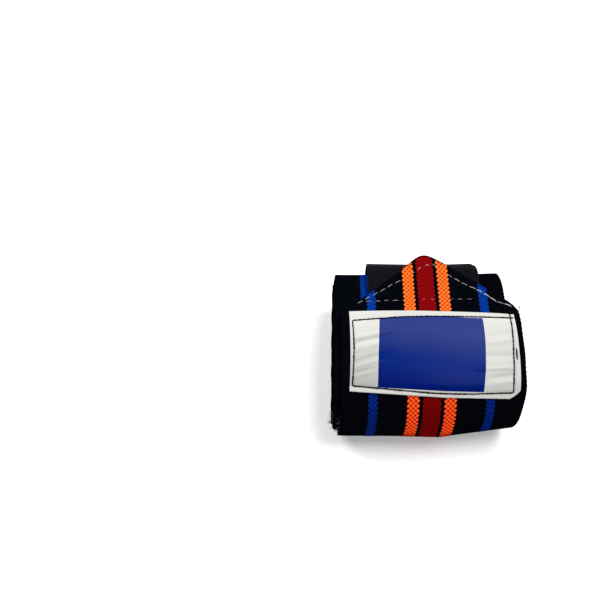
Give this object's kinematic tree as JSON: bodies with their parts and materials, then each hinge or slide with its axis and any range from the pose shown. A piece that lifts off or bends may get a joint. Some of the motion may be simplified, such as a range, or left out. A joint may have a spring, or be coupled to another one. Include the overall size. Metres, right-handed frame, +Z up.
{
  "type": "wrist support wrap",
  "caption": "Elastic wrist support wrap, rolled up loosely on its side: striped webbing with a pointed end, a hook tape under it and a plain sewn label.",
  "frame": {"origin": "middle of the underside, on the surface that the roll lies on", "axes": "+X along the roll's axis, to the right seen from the front; -Y to the front, where the label faces; +Z up"},
  "size_m": [0.0818, 0.0838, 0.045],
  "materials": {
    "elastic_webbing": "black ribbed elastic webbing with woven blue, orange and red stripes",
    "hook_tape": "satin black woven nylon hook tape",
    "label_vinyl": "soft white vinyl with a plain blue panel"
  },
  "bodies": {
    "root": {"elastic_strip": "elastic_webbing", "hook_tape": "hook_tape", "label": "label_vinyl"}
  },
  "joints": []
}
